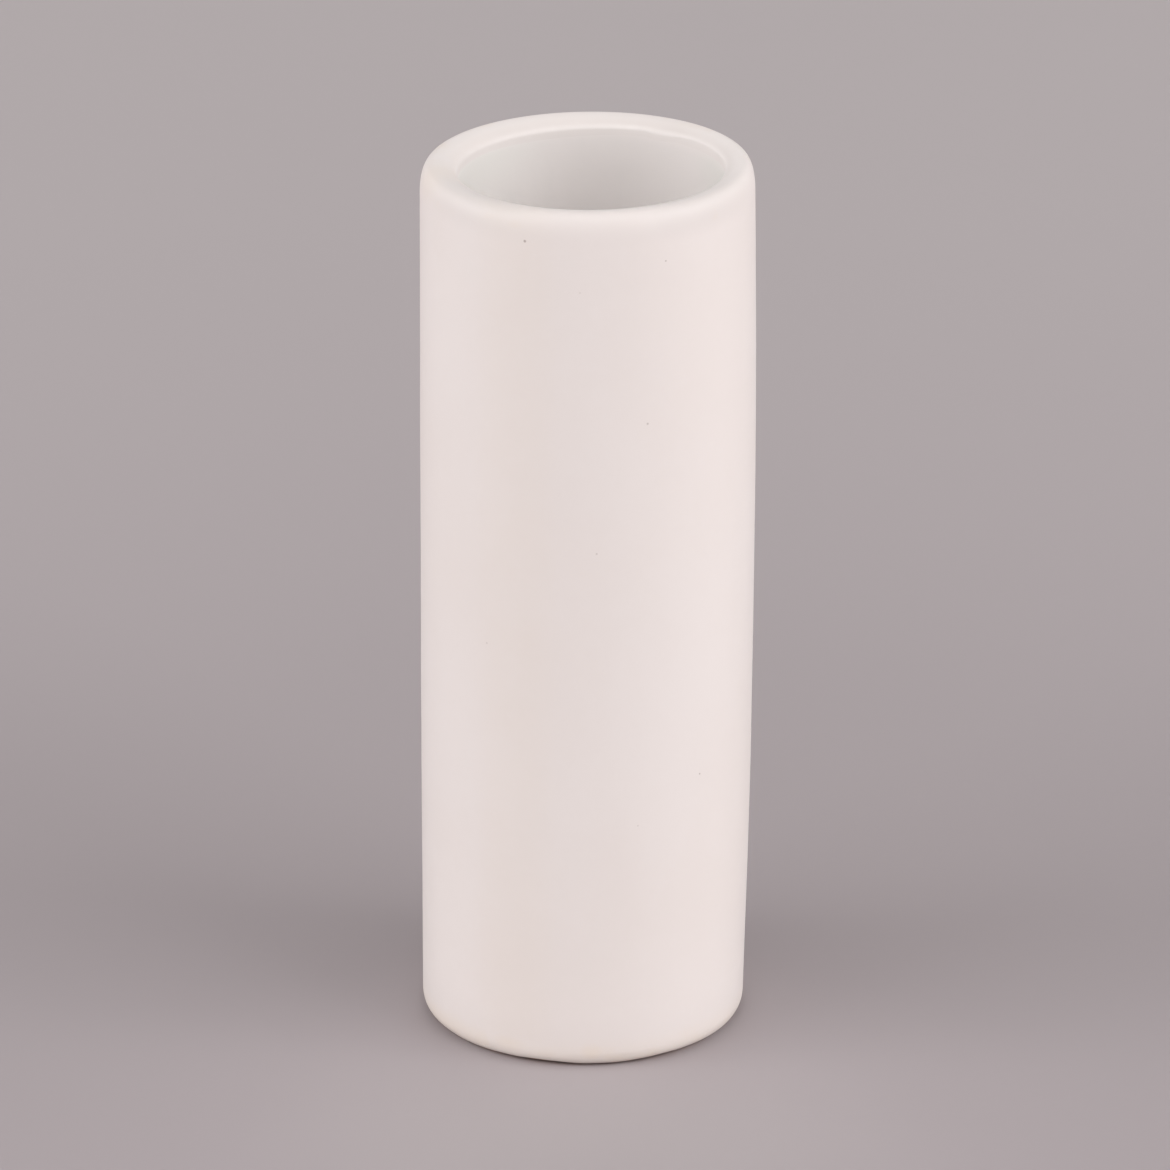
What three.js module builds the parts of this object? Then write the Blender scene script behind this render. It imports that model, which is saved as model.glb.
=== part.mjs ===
// A hand-built earthenware cylinder vase with a thick wall and a soft, rounded lip.
// A clay tube is luted to a round base: both faces are scored in rings, filled with slip,
// and a coil is pressed into the inside corner. A white satin glaze covers the outside
// and the lip, a glossy liner glaze covers the inside, and the foot is left bare.
// Millimetres, +Z up. The origin is the middle of the foot, where the vase stands.

import * as THREE from "three";

// Outside of the finished vase
const HEIGHT = 180;
const LIP_RADIUS = 32.6;
const FOOT_RADIUS = 32.45;
const BELLY_SWELL = 0.6; // how far the middle stands out past a straight side

// Lip
const SHOULDER_DROP = 6.5; // the outside starts to turn in this far below the crest
const CREST_INSET = 2.6; // from the outside to the highest line of the lip
const EDGE_DROP = 2; // the inner edge ends this far below the crest
const SHOULDER_FULLNESS = 0.75; // 0.55 is a quarter of an ellipse, 1 is square
const SIDE_PULL = 0.6; // how long the side and the inner edge stay upright

// Clay
const WALL = 5.75; // from the clay of the outside to the clay of the bore
const BASE = 7; // from the foot up to the clay of the floor
const FOOT_ROUNDING = 3.6; // radius of the rounded bottom edge
const FOOT_RING = 7; // width of the flat ring that the vase stands on
const RECESS_DEPTH = 0.8; // the underside inside the ring is pressed in by this much
const RECESS_SLOPE = 1.6; // width of the slope between ring and recess

// Joint of wall and base
const SLIP = 0.6; // gap between the two faces, which the slip fills
const SCORE_RINGS = 2;
const SCORE_WIDTH = 1.2; // at the mouth of each V
const SCORE_DEPTH = 0.8;
const COIL = 4; // leg of the coil's quarter-round section

// Glazes
const GLAZE = 0.4; // thickness on the outside and the lip
const LINER = 0.4; // thickness on the inside
const GLAZE_LINE = 1.1; // mean height of the glaze's lower edge on the foot
const GLAZE_WANDER = 0.3; // how far that edge strays up and down round the foot
const GLAZE_WAVES = 3; // long waves of that edge in one turn
const GLAZE_RIPPLES = 7; // short waves of it
const RIPPLE_SHARE = 0.4;
const LINER_DROP = 1.2; // from the lip's inner edge down to the liner glaze

// What the hand leaves on the true round form
const BOW = 0.47; // the middle of the vase leans out to +X by this much
const BORE_DRIFT = new THREE.Vector2(0.8, -0.3); // off the outside's centre, at the lip
const RIM_RISE = 0.39; // the +X side of the rim stands this much above its middle

// Facets
const TURN_STEPS = 56;
const SIDE_STEPS = 5;
const SHOULDER_STEPS = 5;
const EDGE_STEPS = 4;
const ROUND_STEPS = 3;

// Heights and radii that follow from the sizes
const SEAM_TOP = BASE + SLIP;
const COIL_TOP = BASE + COIL;
const SHOULDER = HEIGHT - SHOULDER_DROP;
const LIP_EDGE = HEIGHT - EDGE_DROP;
const LINER_TOP = LIP_EDGE - LINER_DROP;
const BORE_DEPTH = GLAZE + WALL; // from the finished outside in to the clay of the bore
const BORE_RADIUS = outerRadius(COIL_TOP) - BORE_DEPTH;
const FOOT_CENTRE = outerRadius(FOOT_ROUNDING) - GLAZE - FOOT_ROUNDING;
const LINE_REACH = 2 * GLAZE_WANDER; // half the height of the facet that holds the glaze's edge

/** Radius of the finished outside: one shallow swell from the foot to the lip. */
function outerRadius(height) {
  const rise = height / HEIGHT;
  const taper = THREE.MathUtils.lerp(FOOT_RADIUS, LIP_RADIUS, rise);
  return taper + BELLY_SWELL * 4 * rise * (1 - rise);
}

/** A profile point: its radius and its height. */
function at(radius, height) {
  return new THREE.Vector2(radius, height);
}

/** The same points the other way round, for the piece on the other side of a face. */
function back(points) {
  return [...points].reverse();
}

/** Points up the side, a depth in from the finished outside. */
function side(depth, from, to) {
  const points = [];
  for (let i = 0; i <= SIDE_STEPS; i += 1) {
    const height = THREE.MathUtils.lerp(from, to, i / SIDE_STEPS);
    points.push(at(outerRadius(height) - depth, height));
  }
  return points;
}

/** Points over the lip from its shoulder to its inner edge, a depth in from the glaze. */
function lip(depth) {
  const shoulder = at(outerRadius(SHOULDER) - depth, SHOULDER);
  const crest = at(LIP_RADIUS - CREST_INSET, HEIGHT - depth);
  const edge = at(outerRadius(LIP_EDGE) - BORE_DEPTH - GLAZE + depth, LIP_EDGE);
  const outer = new THREE.CubicBezierCurve(
    shoulder,
    at(shoulder.x, THREE.MathUtils.lerp(shoulder.y, crest.y, SIDE_PULL)),
    at(THREE.MathUtils.lerp(crest.x, shoulder.x, SHOULDER_FULLNESS), crest.y),
    crest,
  );
  const inner = new THREE.CubicBezierCurve(
    crest,
    at(THREE.MathUtils.lerp(crest.x, edge.x, SIDE_PULL), crest.y),
    at(edge.x, THREE.MathUtils.lerp(edge.y, crest.y, SIDE_PULL)),
    edge,
  );
  return [...outer.getPoints(SHOULDER_STEPS), ...inner.getPoints(EDGE_STEPS).slice(1)];
}

/** The angle on the foot's rounding, from straight down, where its clay has a height. */
function footAngle(height) {
  return Math.acos(1 - height / FOOT_ROUNDING);
}

/** Points up the foot's rounding between two angles, on the clay or on a cover over it. */
function foot(cover, from, to) {
  const reach = FOOT_ROUNDING + cover;
  const down = -Math.PI / 2;
  const arc = new THREE.EllipseCurve(FOOT_CENTRE, FOOT_ROUNDING, reach, reach, down + from, down + to);
  return arc.getPoints(ROUND_STEPS);
}

/** Points across the joint from the bore outwards, with scored rings cut up or down. */
function scored(height, depth) {
  const outer = outerRadius(height) - GLAZE;
  const pitch = (outer - BORE_RADIUS) / SCORE_RINGS;
  const points = [at(BORE_RADIUS, height)];
  for (let i = 0; i < SCORE_RINGS; i += 1) {
    const middle = BORE_RADIUS + pitch * (i + 0.5);
    points.push(at(middle - SCORE_WIDTH / 2, height));
    points.push(at(middle, height + depth));
    points.push(at(middle + SCORE_WIDTH / 2, height));
  }
  points.push(at(outer, height));
  return points;
}

/** Points down the hollow face of the coil, from the bore to the floor, under a cover. */
function hollow(cover) {
  const reach = COIL - cover;
  const arc = new THREE.EllipseCurve(BORE_RADIUS - COIL, COIL_TOP, reach, reach, 0, -Math.PI / 2, true);
  return arc.getPoints(ROUND_STEPS);
}

// The glaze's lower edge lies on one straight facet of the foot and slides along it
const UNDER_LINE = footAngle(GLAZE_LINE - LINE_REACH);
const OVER_LINE = footAngle(GLAZE_LINE + LINE_REACH);
const BARE = foot(0, 0, UNDER_LINE);
const COVERED = foot(0, OVER_LINE, Math.PI / 2);
const LINE = BARE.at(-1).clone().lerp(COVERED[0], 0.5);
const LINE_SLOPE = (COVERED[0].x - LINE.x) / (COVERED[0].y - LINE.y);

// Faces that two pieces share
const FOOT_CLAY = [LINE, ...COVERED, at(outerRadius(BASE) - GLAZE, BASE)];
const WALL_CLAY = side(GLAZE, SEAM_TOP, SHOULDER);
const LIP_CLAY = lip(GLAZE).slice(1);
const BORE_CLAY = side(BORE_DEPTH, COIL_TOP, LINER_TOP);
const COIL_FACE = hollow(0);
const SCORED_BASE = scored(BASE, -SCORE_DEPTH);
const SCORED_WALL = scored(SEAM_TOP, SCORE_DEPTH);

/** Where the glaze's edge strays to at a place round the foot: 1 is highest, -1 lowest. */
function wander(turn) {
  return THREE.MathUtils.lerp(Math.sin(GLAZE_WAVES * turn), Math.cos(GLAZE_RIPPLES * turn), RIPPLE_SHARE);
}

/** Moves a point of the true round form to where the hand has left it. */
function settle(point) {
  const turn = Math.atan2(point.y, point.x);
  const nearLine = 1 - Math.abs(point.z - GLAZE_LINE) / LINE_REACH;
  const slide = GLAZE_WANDER * wander(turn) * Math.max(nearLine, 0);
  point.x += LINE_SLOPE * slide * Math.cos(turn);
  point.y += LINE_SLOPE * slide * Math.sin(turn);
  point.z += slide;
  const rise = point.z / HEIGHT;
  const inset = outerRadius(point.z) - Math.hypot(point.x, point.y);
  const drift = THREE.MathUtils.clamp(inset / (BORE_DEPTH + LINER), 0, 1) * rise;
  point.x += BORE_DRIFT.x * drift + BOW * 4 * rise * (1 - rise);
  point.y += BORE_DRIFT.y * drift;
  point.z += (RIM_RISE * rise * point.x) / LIP_RADIUS;
  return point;
}

/**
 * Turns a profile into a closed solid and settles it. A profile runs up the outside and
 * down the inside, and starts and ends on the axis or closes on itself. Each facet is
 * split from its lower profile point, so that pieces which share a face share its splits.
 */
function turned(profile) {
  const closed = profile[0].x === 0 ? profile : [...profile, profile[0]];
  const geometry = new THREE.LatheGeometry(closed, TURN_STEPS);
  geometry.rotateX(Math.PI / 2);
  const position = geometry.getAttribute("position");
  const point = new THREE.Vector3();
  for (let i = 0; i < position.count; i += 1) {
    settle(point.fromBufferAttribute(position, i));
    position.setXYZ(i, point.x, point.y, point.z);
  }
  const index = [];
  for (let step = 0; step < TURN_STEPS; step += 1) {
    for (let j = 0; j + 1 < closed.length; j += 1) {
      const [low, high] = [closed[j], closed[j + 1]];
      const a = step * closed.length + j;
      const [b, c, d] = [a + closed.length, a + closed.length + 1, a + 1];
      const rising = high.y > low.y || (high.y === low.y && high.x > low.x);
      if (low.x > 0) index.push(...(rising ? [a, b, c] : [a, b, d]));
      if (high.x > 0) index.push(...(rising ? [a, c, d] : [b, c, d]));
    }
  }
  geometry.setIndex(index);
  geometry.computeVertexNormals();
  return geometry;
}

/** The tube of the wall, from its scored lower face to the rounded lip. */
function wall() {
  return turned([...WALL_CLAY, ...LIP_CLAY, ...back(BORE_CLAY), ...SCORED_WALL.slice(0, -1)]);
}

/** The round base with its scored rim, rounded bare foot and shallow recess. */
function base() {
  const ringInner = FOOT_CENTRE - FOOT_RING;
  return turned([
    at(0, RECESS_DEPTH),
    at(ringInner - RECESS_SLOPE, RECESS_DEPTH),
    at(ringInner, 0),
    ...BARE,
    ...FOOT_CLAY,
    ...back(SCORED_BASE).slice(1),
    at(0, BASE),
  ]);
}

/** The slip that fills the scored rings of both faces. */
function lutingSlip() {
  return turned([...SCORED_BASE, ...back(SCORED_WALL)]);
}

/** The coil pressed into the corner of wall and base and smoothed hollow. */
function innerCoil() {
  return turned([COIL_FACE.at(-1), at(BORE_RADIUS, BASE), at(BORE_RADIUS, SEAM_TOP), ...COIL_FACE.slice(0, -1)]);
}

/** The satin glaze from the foot up over the lip to the liner glaze. */
function outerGlaze() {
  const inside = BORE_DEPTH + GLAZE;
  return turned([
    ...foot(GLAZE, OVER_LINE, Math.PI / 2),
    ...side(0, SEAM_TOP, SHOULDER),
    ...lip(0).slice(1),
    at(outerRadius(LINER_TOP) - inside, LINER_TOP),
    BORE_CLAY.at(-1),
    ...back(LIP_CLAY),
    ...back(WALL_CLAY),
    ...back(FOOT_CLAY),
  ]);
}

/** The glossy glaze on the floor, over the coil and up the bore. */
function linerGlaze() {
  return turned([
    at(0, BASE),
    ...back(COIL_FACE),
    ...BORE_CLAY.slice(1),
    ...back(side(BORE_DEPTH + LINER, COIL_TOP, LINER_TOP)),
    ...hollow(LINER).slice(1),
    at(0, BASE + LINER),
  ]);
}

const TERRACOTTA = new THREE.MeshStandardMaterial({ color: "#c08a6b", roughness: 0.9, metalness: 0 });
const SLIP_CLAY = new THREE.MeshStandardMaterial({ color: "#a8694c", roughness: 0.95, metalness: 0 });
const SATIN_GLAZE = new THREE.MeshStandardMaterial({ color: "#e9dfda", roughness: 0.45, metalness: 0 });
const LINER_GLAZE = new THREE.MeshStandardMaterial({ color: "#dbdad5", roughness: 0.15, metalness: 0 });

const vase = new THREE.Group();
vase.name = "cylinder_vase";

/** Adds one named piece to the vase. */
function add(name, geometry, material) {
  const mesh = new THREE.Mesh(geometry, material);
  mesh.name = name;
  vase.add(mesh);
}

add("wall", wall(), TERRACOTTA);
add("base", base(), TERRACOTTA);
add("luting_slip", lutingSlip(), SLIP_CLAY);
add("inner_coil", innerCoil(), TERRACOTTA);
add("outer_glaze", outerGlaze(), SATIN_GLAZE);
add("liner_glaze", linerGlaze(), LINER_GLAZE);

export default vase;
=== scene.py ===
"""Finishes a glazed earthenware cylinder vase round its packed construction model.

The outer glaze, the liner glaze and the round base are modelled again as fine fired
surfaces, in metres, in the frame of the construction model. The wall, the luting slip and
the inner coil stay as they are and get their clay. Every piece is an operator, the sizes
and colours are properties of the scene, and one more operator sets the stage: the floor,
the lamps and the camera.
"""

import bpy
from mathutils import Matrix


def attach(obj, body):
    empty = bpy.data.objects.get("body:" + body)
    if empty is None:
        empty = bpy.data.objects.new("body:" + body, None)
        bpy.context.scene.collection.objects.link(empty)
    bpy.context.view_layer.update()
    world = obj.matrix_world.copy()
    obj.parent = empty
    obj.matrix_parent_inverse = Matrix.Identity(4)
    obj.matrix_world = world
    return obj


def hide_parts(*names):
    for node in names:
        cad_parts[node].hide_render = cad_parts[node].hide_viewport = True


bl_info = {
    "name": "Cylinder Vase",
    "version": (1, 0, 0),
    "blender": (4, 5, 0),
    "location": "3D View > Sidebar > Vase",
    "description": "Glazes, clay and stage of a hand-built cylinder vase",
    "category": "Object",
}

import math

import bpy
from bpy.props import FloatProperty, FloatVectorProperty, PointerProperty
from mathutils import Matrix, Vector, noise

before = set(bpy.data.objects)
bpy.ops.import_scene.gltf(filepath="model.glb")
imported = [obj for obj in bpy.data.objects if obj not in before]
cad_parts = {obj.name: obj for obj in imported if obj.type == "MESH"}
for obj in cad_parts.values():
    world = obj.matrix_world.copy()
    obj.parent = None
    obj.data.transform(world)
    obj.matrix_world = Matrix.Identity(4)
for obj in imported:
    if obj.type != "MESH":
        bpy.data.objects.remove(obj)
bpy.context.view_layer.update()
MM = 0.001

# Rows of the fine surfaces, and the angle in degrees from which an edge is sharp
TURN_STEPS = 256
SIDE_ROWS = 120
HIDDEN_ROWS = 30
LIP_ROWS = 26
CREST_ROWS = 18
FOOT_ROWS = 12
ROLL_ROWS = 7
LAP_ROWS = 6
EDGE_ROWS = 4
SHARP_ANGLE = 50
SCORE_RINGS = 2

# The lip's inner edge: turns in degrees over which it grows soft, dips or grows crisp, and how far
SOFT_BEGINS, SOFT_ENDS, SOFT_SHARE = (60, 125), (225, 185), 0.75
DIP_BEGINS, DIP_ENDS, DIP_SHARE = (48, 58), (66, 62), 0.6
CRISP_BEGINS, CRISP_ENDS, CRISP_SHARE = (320, 350), (55, 35), 0.7

# Waves of the satin glaze's two edges: their reach, how many go in a turn, and their shift. The reach
# is a share of the wander at the foot, and in metres in the bore
FOOT_WAVES = [(0.6, 3, 0), (0.4, 7, math.pi / 2), (0.12, 17, 1), (0.08, 29, 0)]
BORE_WAVES = [(0.12 * MM, 2, 0.6), (0.07 * MM, 5, 2)]

# Middle and width, in degrees, of the stretch where the lower edge has sagged
SAG_TURN, SAG_WIDTH = 274, 17

# Middle and width of the bead behind the rolled edge, in radii of that edge
BEAD_MIDDLE, BEAD_WIDTH = 2.2, 1.6

# Hollows that the hand leaves: their seed, the size of large and small ones, how far the small ones and
# all upright shifts go beside the rest, and the height where they reach their full depth
HAND_SEED = 7
LARGE_HOLLOW = 34 * MM
SMALL_HOLLOW = 15 * MM
SMALL_SHARE = 0.45
UPRIGHT_SHARE = 0.6
HOLLOWS_FULL = 12 * MM


def size(name, description, default):
    """A length in metres that a user may change."""
    return FloatProperty(name=name, description=description, default=default, unit="LENGTH", precision=5)


def share(name, description, default):
    """A number from 0 to 1."""
    return FloatProperty(name=name, description=description, default=default, min=0, max=1, subtype="FACTOR")


def angle(name, description, degrees):
    """An angle, given in degrees and kept in radians."""
    return FloatProperty(name=name, description=description, default=math.radians(degrees), subtype="ANGLE")


def power(name, description, watts):
    """The power of a lamp."""
    return FloatProperty(name=name, description=description, default=watts, unit="POWER")


def colour(name, description, red, green, blue):
    """A linear colour."""
    return FloatVectorProperty(
        name=name, description=description, default=(red, green, blue), size=3, subtype="COLOR", min=0, max=1
    )


class VaseForm(bpy.types.PropertyGroup):
    """Sizes of the fired vase: the construction model's, with the inner pull and the hand's hollows."""

    height: size("Height", "From the foot to the middle of the lip's crest", 0.180)
    lip_radius: size("Lip radius", "Outside of the vase at the lip, if its side ran on straight", 0.0326)
    foot_radius: size("Foot radius", "Outside of the vase at the foot, if its side ran on straight", 0.03245)
    belly_swell: size("Belly swell", "How far the middle stands out past a straight side", 0.0006)
    shoulder_drop: size("Shoulder drop", "The outside starts to turn in this far below the crest", 0.0065)
    crest_inset: size("Crest inset", "From the outside to the highest line of the lip", 0.0026)
    edge_drop: size("Edge drop", "The lip's inner edge ends this far below the crest", 0.002)
    shoulder_fullness: share("Shoulder fullness", "0.55 is a quarter of an ellipse, 1 is square", 0.75)
    side_pull: share("Side pull", "How long the side stays upright", 0.6)
    inner_pull: share("Inner pull", "How long the glaze on the lip's inner edge stays upright", 0.52)
    wall: size("Wall", "Clay between the outside and the bore", 0.00575)
    base: size("Base", "Clay between the foot and the floor", 0.007)
    foot_rounding: size("Foot rounding", "Radius of the rounded bottom edge", 0.0036)
    foot_ring: size("Foot ring", "Width of the flat ring that the vase stands on", 0.007)
    recess_depth: size("Recess depth", "The underside inside the ring is pressed in by this much", 0.0008)
    recess_slope: size("Recess slope", "Width of the slope between ring and recess", 0.0016)
    score_width: size("Score width", "Mouth of each scored ring", 0.0012)
    score_depth: size("Score depth", "Depth of each scored ring", 0.0008)
    coil: size("Coil", "Leg of the coil's section in the corner of wall and floor", 0.004)
    bow: size("Bow", "The middle of the vase leans out to +X by this much", 0.00047)
    bore_drift_x: size("Bore drift X", "The lip's bore is off centre by this much along X", 0.0008)
    bore_drift_y: size("Bore drift Y", "The lip's bore is off centre by this much along Y", -0.0003)
    rim_rise: size("Rim rise", "The +X side of the rim stands this much above its middle", 0.00039)
    hand: size("Hand", "Depth of the shallow hollows that the hand leaves", 0.00007)


class VaseGlaze(bpy.types.PropertyGroup):
    """Thickness and edges of the two glazes."""

    coat: size("Coat", "Thickness of the satin glaze", 0.0004)
    liner: size("Liner", "Thickness of the liner glaze", 0.0004)
    line: size("Glaze line", "Mean height of the satin glaze's lower edge", 0.0011)
    wander: size("Wander", "How far that edge strays up and down", 0.0003)
    sag: size("Sag", "How much lower that edge has run in front", 0.0004)
    roll: size("Roll", "Radius of the glaze's rolled lower edge", 0.0005)
    bead: size("Bead", "How much thicker the glaze stands behind its rolled edge", 0.00009)
    liner_drop: size("Liner drop", "From the lip's inner edge down to the edge of the satin glaze", 0.0012)
    lap: size("Lap", "Length of liner glaze that the satin glaze covers", 0.0009)
    soften: size("Soften", "How far crispness raises the lip's inner edge and softness lowers it", 0.0006)


class VaseFinish(bpy.types.PropertyGroup):
    """Colours and polish of clay and glaze."""

    satin: colour("Satin white", "The white of the satin glaze", 0.769, 0.705, 0.682)
    satin_shade: colour("Satin shade", "The satin glaze where it lies thinner", 0.755, 0.687, 0.660)
    # Painted light: this thick glaze white brightens the crest's sides and back and the very top of the bore
    thick: colour("Thick glaze", "The satin glaze at its thickest, on the lip's sides", 0.807, 0.740, 0.716)
    # Painted shade: this lip white darkens the front shoulder, the lip's inner rounding, the left inside and
    # the lowest part of the outside
    lip: colour("Lip white", "The satin glaze where it has drawn back from the lip", 0.605, 0.555, 0.532)
    thin: colour("Thin glaze", "Warm tan where the clay shows through thin glaze", 0.72, 0.605, 0.49)
    liner: colour("Liner white", "The cooler white of the liner glaze", 0.850, 0.797, 0.778)
    # Painted shade: this liner top darkens the bore just under the lip
    top: colour("Liner top", "The liner glaze just under the lip", 0.760, 0.712, 0.694)
    # Pooled liner: real pooling in the floor's corner and in patches, and also painted shade, greenish, at
    # both ends of the bore's top
    pool: colour("Pooled liner", "Greenish grey where the liner glaze lies thick", 0.715, 0.701, 0.666)
    iron: colour("Iron speck", "Dark brown of the iron specks", 0.16, 0.085, 0.055)
    clay: colour("Terracotta", "The bare fired clay", 0.52, 0.26, 0.145)
    clay_dark: colour("Terracotta shade", "Its darker, harder fired patches", 0.37, 0.165, 0.088)
    slip: colour("Slip clay", "The finer, redder clay of the slip", 0.39, 0.145, 0.072)
    satin_roughness: share("Satin roughness", "Polish of the satin glaze", 0.42)
    liner_roughness: share("Liner roughness", "Polish of the liner glaze", 0.30)
    clay_roughness: share("Clay roughness", "Polish of the bare clay", 0.88)


class VaseStage(bpy.types.PropertyGroup):
    """The floor, the lamps and the camera."""

    floor: colour("Floor", "Pale grey paper of the floor round the vase", 0.380, 0.335, 0.345)
    # Painted light: paler paper just in front of the vase, where its shadow falls
    front: colour("Front floor", "The same paper just in front of the vase", 0.414, 0.369, 0.375)
    # Painted light: the paper grows paler far behind the vase
    far: colour("Far floor", "The same paper behind the vase", 0.446, 0.402, 0.407)
    window: FloatProperty(name="Window", description="Strength of the high light in front", default=3.27)
    dusk: FloatProperty(name="Dusk", description="Strength of the low light behind", default=1.4)
    paper: colour("Paper", "What the camera and the glazes see past the floor", 0.82, 0.79, 0.785)
    left: power("Left lamp", "Its power", 13.7)
    right: power("Right lamp", "Its power", 17.0)
    beside: power("Side lamps", "Power of each", 6.9)
    behind: power("Back lamp", "Its power", 3.0)
    lamp_distance: size("Lamp distance", "From each lamp to the vase", 1.8)
    distance: size("Camera distance", "From the camera to the middle of the vase", 1.467)
    elevation: angle("Elevation", "How far the camera looks down", 22.04)
    roll: angle("Roll", "How far the camera is turned about its own line", -0.3266)
    lift: size("Lift", "How far the camera's line passes above the vase's middle", 0.00096)
    lens: FloatProperty(
        name="Lens", description="Focal length in millimetres", default=226.9, subtype="DISTANCE_CAMERA"
    )


def clamp(value, low=0, high=1):
    """The value, kept between two others."""
    return max(low, min(high, value))


def smooth(low, high, value):
    """0 below low and 1 above high, with a smooth step between."""
    part = clamp((value - low) / (high - low))
    return part * part * (3 - 2 * part)


def bump_at(value, centre, width):
    """A soft bump: 1 at its centre."""
    return math.exp(-(((value - centre) / width) ** 2))


def arch(part):
    """0 at both ends and 1 in the middle."""
    return 4 * part * (1 - part)


def wave_sum(waves, turn):
    """Several waves added up at a turn."""
    return sum(reach * math.sin(count * turn + shift) for reach, count, shift in waves)


def spread(low, high, steps):
    """Evenly spaced numbers from low to high, both ends included."""
    return [low + (high - low) * i / steps for i in range(steps + 1)]


def bezier(a, b, c, d, steps):
    """Points on a cubic curve, both ends included."""
    points = []
    for t in spread(0, 1, steps):
        u = 1 - t
        weights = (u * u * u, 3 * u * u * t, 3 * u * t * t, t * t * t)
        points.append(tuple(sum(w * p[k] for w, p in zip(weights, (a, b, c, d))) for k in (0, 1)))
    return points


class Shape:
    """Sections of the vase, as (radius, height) in metres, and what the hand makes of them."""

    def __init__(self, scene):
        noise.seed_set(HAND_SEED)
        self.form = form = scene.vase_form
        self.glaze = glaze = scene.vase_glaze
        self.shoulder = form.height - form.shoulder_drop
        self.lip_edge = form.height - form.edge_drop
        self.liner_top = self.lip_edge - glaze.liner_drop
        self.coil_top = form.base + form.coil
        self.bore_depth = glaze.coat + form.wall
        self.bore_radius = self.outer(self.coil_top) - self.bore_depth
        self.foot_centre = self.outer(form.foot_rounding) - glaze.coat - form.foot_rounding

    def outer(self, height):
        """Radius of the finished outside."""
        form = self.form
        rise = height / form.height
        taper = form.foot_radius + (form.lip_radius - form.foot_radius) * rise
        return taper + form.belly_swell * arch(rise)

    def bore(self, height):
        """Radius of the bore's clay."""
        return self.outer(height) - self.bore_depth

    def side(self, depth, low, high, rows):
        """Points up the side, a depth in from the finished outside."""
        return [(self.outer(height) - depth, height) for height in spread(low, high, rows)]

    def bore_side(self, cover, first, last, rows):
        """Points along the bore after the first, a cover of glaze in from its clay."""
        return [(self.bore(height) - cover, height) for height in spread(first, last, rows)[1:]]

    def edge_height(self, turn):
        """Height where the lip's rounding ends in the bore: lower where its edge is softer."""
        past = math.degrees(turn) % 360
        soft = smooth(*SOFT_BEGINS, past) * smooth(*SOFT_ENDS, past)
        dip = smooth(*DIP_BEGINS, past) * smooth(*DIP_ENDS, past)
        crisp = smooth(*CRISP_BEGINS, past) + smooth(*CRISP_ENDS, past)
        rise = CRISP_SHARE * crisp - SOFT_SHARE * soft - DIP_SHARE * dip
        return self.lip_edge + self.glaze.soften * rise

    def lip(self, depth, low, inner_pull):
        """Points over the lip from shoulder to inner edge, a depth in from the finished face."""
        form = self.form
        shoulder = (self.outer(self.shoulder) - depth, self.shoulder)
        crest = (form.lip_radius - form.crest_inset, form.height - depth)
        edge = (self.bore(low) - self.glaze.coat + depth, low)
        pull, fullness = form.side_pull, form.shoulder_fullness
        outer = bezier(
            shoulder,
            (shoulder[0], shoulder[1] + (crest[1] - shoulder[1]) * pull),
            (crest[0] + (shoulder[0] - crest[0]) * fullness, crest[1]),
            crest,
            LIP_ROWS,
        )
        inner = bezier(
            crest,
            (crest[0] + (edge[0] - crest[0]) * inner_pull, crest[1]),
            (edge[0], edge[1] + (crest[1] - edge[1]) * inner_pull),
            edge,
            CREST_ROWS,
        )
        return outer + inner[1:]

    def foot_angle(self, height):
        """Angle on the foot's rounding, from straight down, where its clay has a height."""
        return math.acos(1 - height / self.form.foot_rounding)

    def foot(self, cover, bend):
        """A point on the foot's rounding, at an angle from straight down, under a cover."""
        reach = self.form.foot_rounding + cover
        return (self.foot_centre + reach * math.sin(bend), self.form.foot_rounding - reach * math.cos(bend))

    def foot_line(self, turn):
        """Height of the satin glaze's lower edge."""
        glaze = self.glaze
        sag = glaze.sag * bump_at(math.degrees(turn), SAG_TURN, SAG_WIDTH)
        return glaze.line + glaze.wander * wave_sum(FOOT_WAVES, turn) - sag

    def bore_line(self, turn):
        """Height of the satin glaze's edge in the bore."""
        level = min(self.liner_top, self.edge_height(turn) - self.glaze.liner_drop)
        return level + wave_sum(BORE_WAVES, turn)

    def rolled(self, past_edge):
        """Thickness of the satin glaze at a distance behind its edge on the foot."""
        glaze = self.glaze
        part = clamp(past_edge / glaze.roll)
        bead = glaze.bead * bump_at(past_edge, BEAD_MIDDLE * glaze.roll, BEAD_WIDTH * glaze.roll)
        return (glaze.coat + bead) * math.sqrt(1 - (1 - part) ** 2)

    def under_lap(self, above_edge):
        """Thickness of the liner glaze near the satin glaze's edge, which it tapers off under."""
        return self.glaze.liner * (1 - smooth(0, 1, above_edge / self.glaze.lap))

    def lap_face(self, edge, first, last, rows):
        """Points after the first on the liner's face, from one distance above the edge to another."""
        return [
            (self.bore(edge + above) - self.under_lap(above), edge + above)
            for above in spread(first, last, rows)[1:]
        ]

    def coil_face(self, reach, first, last):
        """Points after the first round the coil's hollow face, at a reach from the middle of its curve."""
        corner = self.bore_radius - self.form.coil
        bends = spread(first, last, FOOT_ROWS)[1:]
        return [(corner + reach * math.sin(bend), self.coil_top - reach * math.cos(bend)) for bend in bends]

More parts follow.
